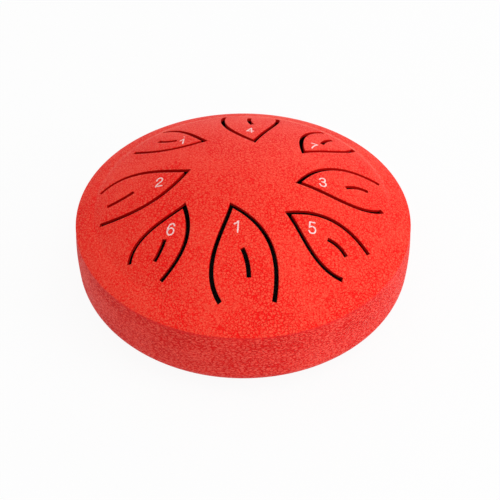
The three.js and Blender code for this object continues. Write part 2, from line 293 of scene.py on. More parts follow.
def grown(outline, distance):
    """A closed outline moved outwards, with its corners kept sharp."""
    outline = anticlockwise(outline)
    edges = np.roll(outline, -1, axis=0) - outline
    edges /= np.linalg.norm(edges, axis=1)[:, None]
    after = np.stack([edges[:, 1], -edges[:, 0]], axis=1)
    before = np.roll(after, 1, axis=0)
    mitre = (after + before) / (1 + np.sum(after * before, axis=1))[:, None]
    return outline + distance * mitre


def cut_outline(line):
    """Outline of a square-ended cut of the slot's width along a centre line."""
    return np.vstack([beside(line, SLOT_WIDTH / 2), beside(line, -SLOT_WIDTH / 2)[::-1]])


def tongue_outlines(tongue):
    """The slot round a tongue, its tuning slit, the blade inside the slot, and its root."""
    half_angle = math.degrees(math.asin(tongue["width"] * MM / 2 / dome_edge))
    full_runout, slim_runout = tongue["runout"]
    full_end = polar(dome_edge + full_runout * MM, tongue["azimuth"] + half_angle)
    slim_end = polar(dome_edge + slim_runout * MM, tongue["azimuth"] - half_angle)
    root = (full_end + slim_end) / 2
    along = polar(1, tongue["azimuth"] + 180 + tongue["lean"])
    side = np.array([along[1], -along[0]])
    tip = root + along * tongue["length"] * MM

    def edge(end, bulge, handles, outward):
        chord = end - tip
        out = np.array([-chord[1], chord[0]]) / np.linalg.norm(chord)
        out *= math.copysign(1, out @ outward)
        placed = [tip + share * chord + reach * bulge * MM * out for share, reach in handles]
        return bezier([tip, *placed, end], EDGE_STEPS)

    full_line = edge(full_end, tongue["full"], FULL_EDGE, side)
    slim_line = edge(slim_end, tongue["slim"], SLIM_EDGE, -side)
    half = SLOT_WIDTH / 2
    outer = joined_at_tip(beside(full_line, -half), beside(slim_line, half))
    inner = joined_at_tip(beside(full_line, half), beside(slim_line, -half))
    if np.linalg.norm(outer[EDGE_STEPS + 1] - root) < np.linalg.norm(inner[EDGE_STEPS + 1] - root):
        outer, inner = inner, outer
    (inner_along, inner_side), (outer_along, outer_side) = tongue["slit"]
    middle = ((inner_along + outer_along) / 2, (inner_side + outer_side) / 2 + 2 * tongue["bow"])
    spots = [root + MM * (a * along + s * side)
             for a, s in ((inner_along, inner_side), middle, (outer_along, outer_side))]
    return {
        "slot": np.vstack([outer, inner[::-1]]),
        "slit": cut_outline(bezier(spots, SLIT_STEPS)),
        "blade": inner,
        "root": np.linspace(inner[0], inner[-1], ROOT_STEPS + 1),
    }


def inside(points, outline):
    """Which of the points lie inside a closed outline."""
    crossings = np.zeros(len(points), int)
    for a, b in zip(outline, np.roll(outline, -1, axis=0)):
        spans = (a[1] > points[:, 1]) != (b[1] > points[:, 1])
        height = b[1] - a[1] if b[1] != a[1] else 1
        x = a[0] + (points[:, 1] - a[1]) * (b[0] - a[0]) / height
        crossings += spans & (points[:, 0] < x)
    return crossings % 2 == 1


def distance_to(points, line, closed=True):
    """How far each point is from a line of points."""
    nearest = np.full(len(points), np.inf)
    ends = np.roll(line, -1, axis=0) if closed else line[1:]
    for a, b in zip(line, ends):
        chord = b - a
        share = np.clip((points - a) @ chord / (chord @ chord), 0, 1)
        nearest = np.minimum(nearest, np.linalg.norm(points - a - share[:, None] * chord, axis=1))
    return nearest


# The plate and its tongues, meshed together in plan so that their faces run on

def plan_rings():
    """Rings of points over the whole plate, closer together at the shoulder and the rim."""
    dome = np.linspace(0, dome_edge - FACET, round(dome_edge / FACET))[1:]
    shoulder_end = RIM_RADIUS - BAND_WIDTH + FINE_PAST_SHOULDER
    shoulder = np.arange(dome_edge, shoulder_end, SHOULDER_FACET)
    band = np.linspace(shoulder[-1] + FACET, rounding_start, BAND_RINGS)
    rounding_tilt = section_tilt[np.searchsorted(section_reach, rounding_start)]
    rim_angles = np.linspace(rounding_tilt, math.pi / 2, RIM_RINGS + 1)[1:]
    rim = RIM_RADIUS - RIM_ROUNDING * (1 - np.sin(rim_angles))
    rings = []
    for i, radius in enumerate([*dome, *shoulder, *band, *rim]):
        outer_ring = radius > rounding_start - NEAR_RIM
        count = round(2 * math.pi * (RIM_RADIUS if outer_ring else radius) / FACET)
        turn = 0 if outer_ring else 0.5 * (i % 2)
        angles = 2 * math.pi * (np.arange(count) + turn) / count
        rings.append(radius * np.stack([np.cos(angles), np.sin(angles)], axis=1))
    return rings


def plate_plan(outlines):
    """Triangles over the plate that follow every outline, and each corner's lip depth."""
    lip_angles = np.linspace(0, math.pi / 2, LIP_STEPS + 1)
    cuts = [anticlockwise(o[kind]) for o in outlines.values() for kind in ("slot", "slit")]
    corners, edges = [], []

    def draw(line, closed):
        first = len(corners)
        corners.extend(line)
        edges.extend((first + i, first + i + 1) for i in range(len(line) - 1))
        if closed:
            edges.append((len(corners) - 1, first))

    for cut in cuts:
        for angle in lip_angles:
            draw(grown(cut, LIP_RADIUS * (1 - math.sin(angle))), True)
    for outline in outlines.values():
        draw(outline["root"], False)
    loose = [[(0, 0)]]
    for ring in plan_rings():
        if np.linalg.norm(ring[0]) > dome_edge + RINGS_DRAWN_PAST_DOME:
            draw(ring, True)
        else:
            loose.append(ring)
    loose = np.vstack(loose)
    clearance = 0.4 * FACET
    free = np.ones(len(loose), bool)
    for cut in cuts:
        free &= distance_to(loose, cut) > LIP_RADIUS + clearance
        free &= ~inside(loose, cut)
    for outline in outlines.values():
        free &= distance_to(loose, outline["root"], closed=False) > clearance
    corners.extend(loose[free])
    points = [Vector(c / MM) for c in corners]
    placed, _, faces, *_ = delaunay_2d_cdt(points, edges, [], 0, 1e-5, False)
    placed = np.array([tuple(p) for p in placed]) * MM
    lip = np.full(len(placed), np.inf)
    for cut in cuts:
        lip = np.minimum(lip, distance_to(placed, cut))
    from_centre = np.clip(LIP_RADIUS - lip, 0, LIP_RADIUS)
    drop = LIP_RADIUS - np.sqrt(LIP_RADIUS ** 2 - from_centre ** 2)
    return placed, np.array(faces), drop


def plate_underside(x, y):
    """The point of the inner face that belongs to x and y, or of the lip near the rim."""
    reach = math.hypot(x, y)
    inner_wall = RIM_RADIUS - SHEET
    point = on_plate(x, y, SHEET)
    inner_reach = math.hypot(point.x, point.y)
    if reach > RIM_RADIUS - TOUCHING:
        return Vector((x, y, SEAM_HEIGHT))
    if inner_reach > inner_wall or reach > inner_wall + SHEET / 2:
        out = Vector((x, y, 0)) / reach
        rise = 0 if reach > RIM_RADIUS - NEAR_RIM else point.z - SEAM_HEIGHT
        return out * inner_wall + Vector((0, 0, SEAM_HEIGHT + max(rise, 0)))
    return point


def raised(placed, faces, upper, lower):
    """Closed mesh over triangles of a plan: an upper face, a lower one and the cut edge."""
    bm = bmesh.new()
    index = bm.verts.layers.int.new("plan")
    verts = {}
    for i in np.unique(faces):
        verts[i] = bm.verts.new((*placed[i], 0))
        verts[i][index] = i
    below = [bm.faces.new([verts[i] for i in face]) for face in faces]
    bmesh.ops.recalc_face_normals(bm, faces=below)
    if below[0].normal.z < 0:
        bmesh.ops.reverse_faces(bm, faces=below)
    lifted = bmesh.ops.extrude_face_region(bm, geom=below + bm.edges[:] + bm.verts[:],
                                           use_keep_orig=True)["geom"]
    above = {g for g in lifted if isinstance(g, (bmesh.types.BMVert, bmesh.types.BMFace))}
    bmesh.ops.reverse_faces(bm, faces=below)
    for vert in bm.verts:
        vert.co = (upper if vert in above else lower)(vert[index])
    below = set(below)
    edge = [face for face in bm.faces if face not in above and face not in below]
    return bm, below, edge


def sheet_piece(name, placed, faces, drop, materials):
    """Closed piece of bent sheet over some of the plan's triangles."""
    bm, below, edge = raised(placed, faces, lambda i: on_plate(*placed[i], drop[i]),
                             lambda i: plate_underside(*placed[i]))
    for face in below:
        # The inner face takes the near-black painted shade
        face.material_index = 1
    for face in edge:
        # Cut edges take the dark painted shade of the slots, and edges at the rim the lip's coat with
        # its painted shade
        middle = face.calc_center_median()
        at_rim = math.hypot(middle.x, middle.y) > RIM_RADIUS - 2 * SHEET
        face.material_index = 3 if at_rim else 2
    return piece(bm, name, materials)


# Pieces and what they ride on

def new_object(name, data):
    """A mesh, lamp or camera as an object of the scene, at the origin."""
    obj = bpy.data.objects.new(name, data)
    bpy.context.scene.collection.objects.link(obj)
    return obj


def piece(bm, name, materials):
    """A finished mesh as an object at the origin, smooth apart from its sharp edges."""
    for face in bm.faces:
        face.smooth = True
    for edge in bm.edges:
        edge.smooth = len(edge.link_faces) == 2 and edge.calc_face_angle(math.pi) < SHARP
    mesh = bpy.data.meshes.new(name)
    bm.to_mesh(mesh)
    bm.free()
    for material in materials:
        mesh.materials.append(material)
    return new_object(name, mesh)


def fixed(obj, slot_name, *nodes):
    """The piece stands for CAD nodes of the drum itself."""
    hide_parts(*nodes)
    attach(obj, "drum")


def arc(centre, radius, start, end, steps):
    """Points of an arc in the radius and height plane, its angles in degrees."""
    angles = np.radians(np.linspace(start, end, steps + 1))
    return [(centre[0] + radius * math.cos(a), centre[1] + radius * math.sin(a)) for a in angles]


def turned(outline, steps, closed=True):
    """An outline in the radius and height plane spun once round the upright axis."""
    bm = bmesh.new()
    verts = [bm.verts.new((r, 0, z)) for r, z in outline]
    edges = [bm.edges.new(pair) for pair in zip(verts, verts[1:])]
    if closed:
        edges.append(bm.edges.new((verts[-1], verts[0])))
    bmesh.ops.spin(bm, geom=verts + edges, cent=(0, 0, 0), axis=(0, 0, 1), angle=2 * math.pi,
                   steps=steps, use_merge=True)
    bmesh.ops.remove_doubles(bm, verts=bm.verts[:], dist=1e-7)
    bmesh.ops.recalc_face_normals(bm, faces=bm.faces[:])
    return bm


def without(bm, *cutters):
    """The mesh with the cutters' shapes taken out of it."""
    objects = []
    for shape in (bm, *cutters):
        mesh = bpy.data.meshes.new("cutting")
        shape.to_mesh(mesh)
        shape.free()
        objects.append(new_object("cutting", mesh))
    target = objects[0]
    for cutter in objects[1:]:
        modifier = target.modifiers.new("cut", "BOOLEAN")
        modifier.operation = "DIFFERENCE"
        modifier.solver = "EXACT"
        modifier.object = cutter
    bpy.context.view_layer.update()
    cut = bmesh.new()
    cut.from_object(target, bpy.context.evaluated_depsgraph_get())
    for obj in objects:
        mesh = obj.data
        bpy.data.objects.remove(obj)
        bpy.data.meshes.remove(mesh)
    return cut


def foot_spots():
    """The middle of each foot, from the solids."""
    spots = {}
    for number in FOOT_NUMBERS:
        low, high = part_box(f"foot_{number}")
        spots[number] = Vector(((low[0] + high[0]) / 2, (low[1] + high[1]) / 2, 0))
    return spots


def make_pan(materials, spots):
    """Deep-drawn pan with a round-edged sound hole and a hole for each foot's screw."""
    wall_foot = BASE_HEIGHT + CORNER_RADIUS
    flat_radius = RIM_RADIUS + WALL_FLARE - CORNER_RADIUS
    outer, inner = [], []
    for down in np.linspace(0, 1, WALL_RINGS):
        reach = RIM_RADIUS + WALL_BULGE * math.sin(math.pi * down) + WALL_FLARE * down
        height = SEAM_HEIGHT + (wall_foot - SEAM_HEIGHT) * down
        outer.append((reach, height))
        inner.append((reach - SHEET, height))
    outer += arc((flat_radius, wall_foot), CORNER_RADIUS, 0, -90, CORNER_STEPS)[1:]
    inner += arc((flat_radius, wall_foot), CORNER_RADIUS - SHEET, 0, -90, CORNER_STEPS)[1:]
    edge_centre = (SOUND_HOLE_RADIUS + SHEET / 2, BASE_HEIGHT + SHEET / 2)
    hole_edge = arc(edge_centre, SHEET / 2, 270, 90, HOLE_EDGE_STEPS)
    across = np.linspace(flat_radius, edge_centre[0], BASE_STEPS + 1)[1:-1]
    outer_base = [(r, BASE_HEIGHT) for r in across]
    inner_base = [(r, BASE_HEIGHT + SHEET) for r in across[::-1]]
    bm = turned(outer + outer_base + hole_edge + inner_base + inner[::-1], PAN_TURN_STEPS)
    drills = []
    for spot in spots.values():
        drill = bmesh.new()
        bmesh.ops.create_cone(drill, cap_ends=True, segments=DRILL_TURN_STEPS,
                              radius1=HOLE_RADIUS, radius2=HOLE_RADIUS, depth=4 * SHEET)
        bmesh.ops.translate(drill, verts=drill.verts, vec=spot + Vector((0, 0, BASE_HEIGHT)))
        drills.append(drill)
    pan = without(bm, *drills)
    # The base's upper face, the top of the sound hole's edge and the inner wall take the near-black
    # painted shade
    for face in pan.faces:
        middle = face.calc_center_median()
        reach = math.hypot(middle.x, middle.y)
        over_base = middle.z > BASE_HEIGHT + 0.4 * SHEET and reach < flat_radius
        turned_in = face.normal.xy.dot(middle.xy) < -0.01 * reach
        face.material_index = int(over_base or (turned_in and reach > SOUND_HOLE_RADIUS + SHEET))
    fixed(piece(pan, "pan", materials), "red_paint", "bottom_shell")


def make_foot(number, spot, materials):
    """Moulded rubber foot with a grip ring in its tread and a recess for the screw."""
    seat_corner, mouth_edge = 0.2 * MM, 0.25 * MM
    groove_middle, groove_radius = 4.3 * MM, 0.2 * MM
    tread_edge = 0.6 * MM
    flank_top = (FOOT_TOP_RADIUS - 0.12 * MM, 3.9 * MM)
    top_edge, top_edge_height = 0.3 * MM, 4.6 * MM
    neck_radius = FOOT_TOP_RADIUS - 0.9 * MM
    outline = [
        (HOLE_RADIUS, SEAT_HEIGHT),
        (RECESS_RADIUS - seat_corner, SEAT_HEIGHT),
        *arc((RECESS_RADIUS - seat_corner, SEAT_HEIGHT - seat_corner), seat_corner, 90, 0, 3)[1:],
        *arc((RECESS_RADIUS + mouth_edge, mouth_edge), mouth_edge, 180, 270, 4),
        *arc((groove_middle, 0), groove_radius, 180, 0, 6),
        *arc((FOOT_TREAD_RADIUS - tread_edge, tread_edge), tread_edge, 270, 345, 6),
        flank_top,
        *arc((FOOT_TOP_RADIUS - top_edge, top_edge_height), top_edge, -15, 90, 5),
        (neck_radius, BASE_HEIGHT),
        (HOLE_RADIUS, BASE_HEIGHT),
    ]
    bm = turned(outline, FOOT_TURN_STEPS)
    bmesh.ops.translate(bm, verts=bm.verts, vec=spot)
    fixed(piece(bm, f"rubber_foot_{number}", materials), "black_rubber", f"foot_{number}")


def make_washer(number, spot, materials):
    """Stamped washer under the screw's head."""
    low = SEAT_HEIGHT - WASHER_THICKNESS
    soft = 0.1 * MM
    outline = [
        (HOLE_RADIUS, low + soft),
        (HOLE_RADIUS + soft, low),
        *arc((WASHER_RADIUS - soft, low + soft), soft, 270, 360, 3),
        (WASHER_RADIUS, SEAT_HEIGHT),
        (HOLE_RADIUS, SEAT_HEIGHT),
    ]
    bm = turned(outline, SCREW_TURN_STEPS)
    bmesh.ops.translate(bm, verts=bm.verts, vec=spot)
    fixed(piece(bm, f"washer_{number}", materials), "zinc_steel", f"foot_washer_{number}")


def make_screw(number, spot, materials):
    """Pan-head screw with a cross recess and a threaded shank that ends in the pan."""
    head_top = SEAT_HEIGHT - WASHER_THICKNESS
    head_low = head_top - SCREW_HEAD_HEIGHT
    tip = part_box(f"foot_screw_{number}")[1][2]
    thread = []
    height = head_top + THREAD_PITCH
    while height < tip - 2 * THREAD_PITCH:
        thread.append((SCREW_RADIUS, height))
        thread.append((SCREW_RADIUS - THREAD_DEPTH, height + THREAD_PITCH / 2))
        height += THREAD_PITCH
    outline = [
        *((radius * MM, head_low + rise * MM) for radius, rise in SCREW_DOME),
        (SCREW_HEAD_RADIUS, head_low + SCREW_HEAD_EDGE),
        (SCREW_HEAD_RADIUS, head_top),
        (SCREW_RADIUS, head_top),
        *thread,
        (SCREW_RADIUS * 0.6, tip - 0.4 * MM),
        (0, tip),
    ]
    bm = turned(outline, SCREW_TURN_STEPS, closed=False)
    length, width, depth = CROSS_ARM
    to_head = Matrix.Translation((0, 0, head_low))
    cutters = []
    for turn in (0, 90):
        arm = bmesh.new()
        bmesh.ops.create_cube(arm, size=1)
        for vert in arm.verts:
            narrow = CROSS_TAPER if vert.co.z > 0 else 1.0
            vert.co = Vector((vert.co.x * length * narrow, vert.co.y * width * narrow,
                              vert.co.z * depth))
        spin = Matrix.Rotation(math.radians(turn + 20 * number), 4, "Z")
        bmesh.ops.transform(arm, verts=arm.verts, matrix=to_head @ spin)
        cutters.append(arm)
    screw = without(bm, *cutters)
    bmesh.ops.translate(screw, verts=screw.verts, vec=spot)
    fixed(piece(screw, f"screw_{number}", materials), "zinc_steel", f"foot_screw_{number}")


def stroke_plan(strokes):
    """Triangles over strokes of the pen, with their overlaps made one."""
    points, shapes = [], []

    def add(outline):
        first = len(points)
        points.extend(Vector(spot / MM) for spot in outline)
        shapes.append(list(range(first, first + len(outline))))

    half = STROKE_WIDTH / 2
    round_end = np.array([polar(half, 360 * i / END_CORNERS) for i in range(END_CORNERS)])
    for line in strokes:
        for spot in line:
            add(spot + round_end)
        for a, b in zip(line, line[1:]):
            side = half * np.array([a[1] - b[1], b[0] - a[0]]) / np.linalg.norm(b - a)
            add(np.array([a + side, a - side, b - side, b + side]))
    placed, _, faces, _, _, inside_of = delaunay_2d_cdt(points, [], shapes, 0, 1e-4, True)
    placed = np.array([tuple(p) for p in placed]) * MM
    return placed, np.array([face for face, shape in zip(faces, inside_of) if shape])


def make_digit(name, tongue, materials):
    """Digit printed on a tongue, bent to the dome."""
    high = name in HIGH_OCTAVE
    height = HIGH_DIGIT_HEIGHT if high else DIGIT_HEIGHT
    angle = math.radians(tongue["digit_turn"])
    turn = np.array([[math.cos(angle), math.sin(angle)], [-math.sin(angle), math.cos(angle)]])
    lines = [bezier(handles, STROKE_STEPS) for handles in STROKES[tongue["digit"]]]
    if high:
        lines.append(np.array([DOT_AT]))
    centre = MM * np.array(tongue["digit_at"])
    strokes = [centre + height * (line - DIGIT_MIDDLE) @ turn for line in lines]
    placed, faces = stroke_plan(strokes)
    bm, _, _ = raised(placed, faces, lambda i: on_plate(*placed[i], -INK_THICKNESS),
                      lambda i: on_plate(*placed[i], INK_SUNK))
    digit = piece(bm, name.replace("tongue", "digit"), materials)
    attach(digit, name)


# Driving values of the red coat. Its grain is in patterns per metre and shares of a crest's
# height; a lit crest, its colours and its shine are given for each part that is coated. The crest
# colour is a painted highlight on the crests, and the colour of the dips is painted shade in the dips
# and cracks.
STRAY_PER_METRE = 700
STRAY_BEND = 1.6 * MM
PAD_EDGE = (0.01, 0.17)
GRAINS_PER_WRINKLE = 2.5
GRAIN_SPREAD = (0.32, 0.68)
PATCHES_PER_METRE = 45
PATCH_SPREAD = (0.35, 0.65, 0.35, 1.0)
GRAIN_HEIGHT = 0.42
GRAIN_FOOT = 0.52
CRACK_HEIGHT = -0.43
PLATE_WRINKLES = dict(per_metre=640, depth=0.27 * MM, squash=1.5)
WALL_WRINKLES = dict(per_metre=430, depth=0.40 * MM, squash=2.2)
PLATE_COAT = dict(wrinkles=PLATE_WRINKLES, lit_crests=(0.45, 0.95), valley_shade_colour=(0.90, 0.006, 0.006),
                  crest_highlight_colour=(1.0, 0.108, 0.062), shine=0.08)
# The wall and lip coats are darker copies of the plate's coat: painted shade on the pan's wall and
# under the rim's crease
WALL_COAT_WITH_PAINTED_SHADE = dict(wrinkles=WALL_WRINKLES, lit_crests=(0.52, 0.80), valley_shade_colour=(0.76, 0.001, 0.003),
                 crest_highlight_colour=(1.0, 0.090, 0.064), shine=0.18)
LIP_COAT_WITH_PAINTED_SHADE = dict(wrinkles=WALL_WRINKLES, lit_crests=(0.3, 0.85), valley_shade_colour=(0.77, 0.001, 0.006),
                crest_highlight_colour=(1.0, 0.034, 0.030), shine=0.14)
COAT_ROUGHNESS = (0.62, 0.50)
COAT_SHINE_TINT = (1.0, 0.85, 0.62, 1)
# A ring over the shoulder where the coat is worn smoother and carries a painted highlight, paler when
# seen from low
SHOULDER_RING_INNER_EDGE = (63.4 * MM, 65.8 * MM)
SHOULDER_RING_OUTER_EDGE = (66.2 * MM, 68.2 * MM)
HIGHLIGHT_SEEN_FROM_LOW = (0.50, 0.90)
SCUFFS_AND_GLINTS_PER_METRE = 420
SCUFF_AND_GLINT_SPREAD = (0.40, 0.66, 0.12, 1)
SHOULDER_HIGHLIGHT_COLOUR = (1.0, 0.19, 0.14)
RUBBED_ROUGHNESS = -0.08

# The other finishes, each with the two colours between which it wanders
INK_COLOURS = ((0.92, 0.36, 0.33), (1.0, 0.72, 0.70))
INK_SPREAD = (0.1, 0.7)
# Dark red painted shade on the cut edges in the slots
CUT_EDGE_SHADE_COLOURS = ((0.46, 0.001, 0.001), (0.64, 0.003, 0.002))
CUT_EDGE_STREAKS_PER_METRE = 900
# Near-black painted shade for the unlit inside of the drum
INNER_SHADE_COLOURS = ((0.010, 0.008, 0.008), (0.030, 0.024, 0.020))
INNER_SHADE_MOTTLE_PER_METRE = 120
RUBBER_COLOURS = ((0.010, 0.010, 0.011), (0.022, 0.022, 0.023))
RUBBER_GRAINS_PER_METRE = 1500
RUBBER_GRAIN_DEPTH = 0.05 * MM
ZINC_COLOURS = ((0.55, 0.56, 0.57), (0.70, 0.70, 0.68))
ZINC_HAZE_PER_METRE = 700
ZINC_ROUGHNESS = (0.25, 0.45)


# Materials

def new_material(name):
    material = bpy.data.materials.new(name)
    material.use_nodes = True
    nodes = material.node_tree.nodes
    return material, nodes, material.node_tree.links, nodes["Principled BSDF"]


def math_node(nodes, links, operation, *values):
    """A Math node on sockets or plain numbers, and its output."""
    node = nodes.new("ShaderNodeMath")
    node.operation = operation
    for socket, value in zip(node.inputs, values):
        if isinstance(value, bpy.types.NodeSocket):
            links.new(value, socket)
        else:
            socket.default_value = value
    return node.outputs[0]


def noise_node(nodes, links, vector, scale, detail, distortion=0.0):
    node = nodes.new("ShaderNodeTexNoise")
    node.inputs["Detail"].default_value = detail
    node.inputs["Distortion"].default_value = distortion
    links.new(vector, node.inputs["Vector"])
    if isinstance(scale, bpy.types.NodeSocket):
        links.new(scale, node.inputs["Scale"])
    else:
        node.inputs["Scale"].default_value = scale
    return node.outputs["Fac"]


def ranged(nodes, links, value, low, high, to_low=0.0, to_high=1.0, smooth=False):
    node = nodes.new("ShaderNodeMapRange")
    if smooth:
        node.interpolation_type = "SMOOTHSTEP"
    for socket, number in zip(("From Min", "From Max", "To Min", "To Max"),
                              (low, high, to_low, to_high)):
        node.inputs[socket].default_value = number
    links.new(value, node.inputs["Value"])
    return node.outputs["Result"]


def mixed_colour(nodes, links, factor, low, high):
    node = nodes.new("ShaderNodeMix")
    node.data_type = "RGBA"
    node.inputs["A"].default_value = (*low, 1)
    node.inputs["B"].default_value = (*high, 1)
    links.new(factor, node.inputs["Factor"])
    return node.outputs["Result"]


def wrinkle_group():
    """Baked wrinkle coat: how high each spot stands on its leathery grain, and its normal."""
    group = bpy.data.node_groups.new("wrinkle_coat", "ShaderNodeTree")
    face = group.interface
    face.new_socket("Vector", in_out="INPUT", socket_type="NodeSocketVector")
    face.new_socket("Wrinkles per metre", in_out="INPUT", socket_type="NodeSocketFloat")
    face.new_socket("Depth", in_out="INPUT", socket_type="NodeSocketFloat")
    face.new_socket("Crest", in_out="OUTPUT", socket_type="NodeSocketFloat")
    face.new_socket("Normal", in_out="OUTPUT", socket_type="NodeSocketVector")
    nodes, links = group.nodes, group.links
    inputs = nodes.new("NodeGroupInput")
    outputs = nodes.new("NodeGroupOutput")
    vector = inputs.outputs["Vector"]
    per_metre = inputs.outputs["Wrinkles per metre"]

    stray = nodes.new("ShaderNodeTexNoise")
    stray.inputs["Scale"].default_value = STRAY_PER_METRE
    stray.inputs["Detail"].default_value = 1.0
    links.new(vector, stray.inputs["Vector"])
    bent = nodes.new("ShaderNodeVectorMath")
    bent.operation = "MULTIPLY_ADD"
    bent.inputs[1].default_value = (STRAY_BEND, STRAY_BEND, STRAY_BEND)
    links.new(stray.outputs["Color"], bent.inputs[0])
    links.new(vector, bent.inputs[2])
    cells = nodes.new("ShaderNodeTexVoronoi")
    cells.feature = "DISTANCE_TO_EDGE"
    links.new(bent.outputs[0], cells.inputs["Vector"])
    links.new(per_metre, cells.inputs["Scale"])
    pads = ranged(nodes, links, cells.outputs["Distance"], *PAD_EDGE, smooth=True)
    finer = math_node(nodes, links, "MULTIPLY", per_metre, GRAINS_PER_WRINKLE)
    grain = noise_node(nodes, links, vector, finer, 2.0, 0.6)
    grain = ranged(nodes, links, grain, *GRAIN_SPREAD)
    patches = noise_node(nodes, links, vector, PATCHES_PER_METRE, 2.0)
    patches = ranged(nodes, links, patches, *PATCH_SPREAD)
    cracks = math_node(nodes, links, "MULTIPLY",
                       math_node(nodes, links, "SUBTRACT", 1.0, pads), patches)
    grain = math_node(nodes, links, "MULTIPLY_ADD", grain, GRAIN_HEIGHT, GRAIN_FOOT)
    crest = math_node(nodes, links, "MULTIPLY_ADD", cracks, CRACK_HEIGHT, grain)

    bump = nodes.new("ShaderNodeBump")
    bump.inputs["Strength"].default_value = 1.0
    links.new(inputs.outputs["Depth"], bump.inputs["Distance"])
    links.new(crest, bump.inputs["Height"])
    links.new(crest, outputs.inputs["Crest"])
    links.new(bump.outputs["Normal"], outputs.inputs["Normal"])
    return group


def add_wrinkles(nodes, links, group, per_metre, depth, squash):
    """The crest mask and normal of the wrinkles on a material."""
    place = nodes.new("ShaderNodeTexCoord")
    flattened = nodes.new("ShaderNodeMapping")
    flattened.inputs["Scale"].default_value = (1, 1, squash)
    links.new(place.outputs["Object"], flattened.inputs["Vector"])
    coat = nodes.new("ShaderNodeGroup")
    coat.node_tree = group
    coat.inputs["Wrinkles per metre"].default_value = per_metre
    coat.inputs["Depth"].default_value = depth
    links.new(flattened.outputs["Vector"], coat.inputs["Vector"])
    return coat.outputs["Crest"], coat.outputs["Normal"]


def rubbed_and_highlit_shoulder(nodes, links):
    """How smooth the coat is worn in a ring where the playing hand passes over the shoulder, and how
    strong the painted highlight on that ring is.
    """
    place = nodes.new("ShaderNodeTexCoord")
    level = nodes.new("ShaderNodeVectorMath")
    level.operation = "MULTIPLY"
    level.inputs[1].default_value = (1, 1, 0)
    links.new(place.outputs["Object"], level.inputs[0])
    reach = nodes.new("ShaderNodeVectorMath")
    reach.operation = "LENGTH"
    links.new(level.outputs[0], reach.inputs[0])
    reach = reach.outputs["Value"]
    rise = ranged(nodes, links, reach, *SHOULDER_RING_INNER_EDGE, smooth=True)
    fall = ranged(nodes, links, reach, *SHOULDER_RING_OUTER_EDGE, 1, 0, smooth=True)
    ring = math_node(nodes, links, "MULTIPLY", rise, fall)
    scuffs_and_glints = noise_node(nodes, links, place.outputs["Object"], SCUFFS_AND_GLINTS_PER_METRE, 5.0, 1.5)
    scuffs_and_glints = ranged(nodes, links, scuffs_and_glints, *SCUFF_AND_GLINT_SPREAD)
    return math_node(nodes, links, "MULTIPLY", ring, scuffs_and_glints)


def red_paint(name, group, wrinkles, lit_crests, valley_shade_colour, crest_highlight_colour, shine, rubbed_and_highlit=False):
    """Satin red coat with a fine wrinkle, with a painted highlight on its crests and painted shade in
    the dips between them, and if asked a painted highlight on the shoulder ring.
    """
    material, nodes, links, shader = new_material(name)
    crest, normal = add_wrinkles(nodes, links, group, **wrinkles)
    crest = ranged(nodes, links, crest, *lit_crests)
    # Painted light: crests take a paler highlight colour and the dips a darker shade colour
    colour = mixed_colour(nodes, links, crest, valley_shade_colour, crest_highlight_colour)
    roughness = ranged(nodes, links, crest, 0, 1, *COAT_ROUGHNESS)
    if rubbed_and_highlit:
        # Painted highlight: the shoulder ring is made paler when seen at a low angle, and is also
        # worn smoother
        rub_and_highlight = rubbed_and_highlit_shoulder(nodes, links)
        low_angle = nodes.new("ShaderNodeLayerWeight")
        low_angle.inputs["Blend"].default_value = 0.5
        painted_highlight = ranged(nodes, links, low_angle.outputs["Facing"], *HIGHLIGHT_SEEN_FROM_LOW)
        painted_highlight = math_node(nodes, links, "MULTIPLY", rub_and_highlight, painted_highlight)
        highlighted = mixed_colour(nodes, links, painted_highlight, (0, 0, 0), SHOULDER_HIGHLIGHT_COLOUR)
        links.new(colour, highlighted.node.inputs["A"])
        colour = highlighted
        roughness = math_node(nodes, links, "MULTIPLY_ADD", rub_and_highlight, RUBBED_ROUGHNESS, roughness)
    links.new(colour, shader.inputs["Base Color"])
    links.new(roughness, shader.inputs["Roughness"])
    links.new(normal, shader.inputs["Normal"])
    shader.inputs["Specular IOR Level"].default_value = shine
    shader.inputs["Specular Tint"].default_value = COAT_SHINE_TINT
    return material


def mottled(name, colours, per_metre, detail):
    """A material whose colour wanders between two, and the noise that the colour follows."""
    material, nodes, links, shader = new_material(name)
    place = nodes.new("ShaderNodeTexCoord")
    noise = noise_node(nodes, links, place.outputs["Object"], per_metre, detail)
    links.new(mixed_colour(nodes, links, noise, *colours), shader.inputs["Base Color"])
    return material, nodes, links, shader, noise


def shaded_cut_edge():
    """Edge left by the cutting beam, darkened as painted shade in the narrow slots."""
    material, _, _, shader, _ = mottled("shaded_cut_edge", CUT_EDGE_SHADE_COLOURS, CUT_EDGE_STREAKS_PER_METRE, 3.0)
    shader.inputs["Roughness"].default_value = 0.7
    shader.inputs["Specular IOR Level"].default_value = 0.05
    return material


def inside_painted_shade():
    """Near-black inner face of the sheet: painted shade for the unlit inside of the drum."""
    material, _, _, shader, _ = mottled("inner_painted_shade", INNER_SHADE_COLOURS,
                                        INNER_SHADE_MOTTLE_PER_METRE, 4.0)
    shader.inputs["Roughness"].default_value = 0.7
    shader.inputs["Specular IOR Level"].default_value = 0.3
    return material


def white_ink(group):
    """Thin printed ink that lets the red through where the coat dips."""
    material, nodes, links, shader = new_material("printed_ink")
    crest, normal = add_wrinkles(nodes, links, group, **PLATE_WRINKLES)
    crest = ranged(nodes, links, crest, *INK_SPREAD)
    links.new(mixed_colour(nodes, links, crest, *INK_COLOURS), shader.inputs["Base Color"])
    links.new(normal, shader.inputs["Normal"])
    shader.inputs["Roughness"].default_value = 0.6
    shader.inputs["Specular IOR Level"].default_value = 0.3
    return material


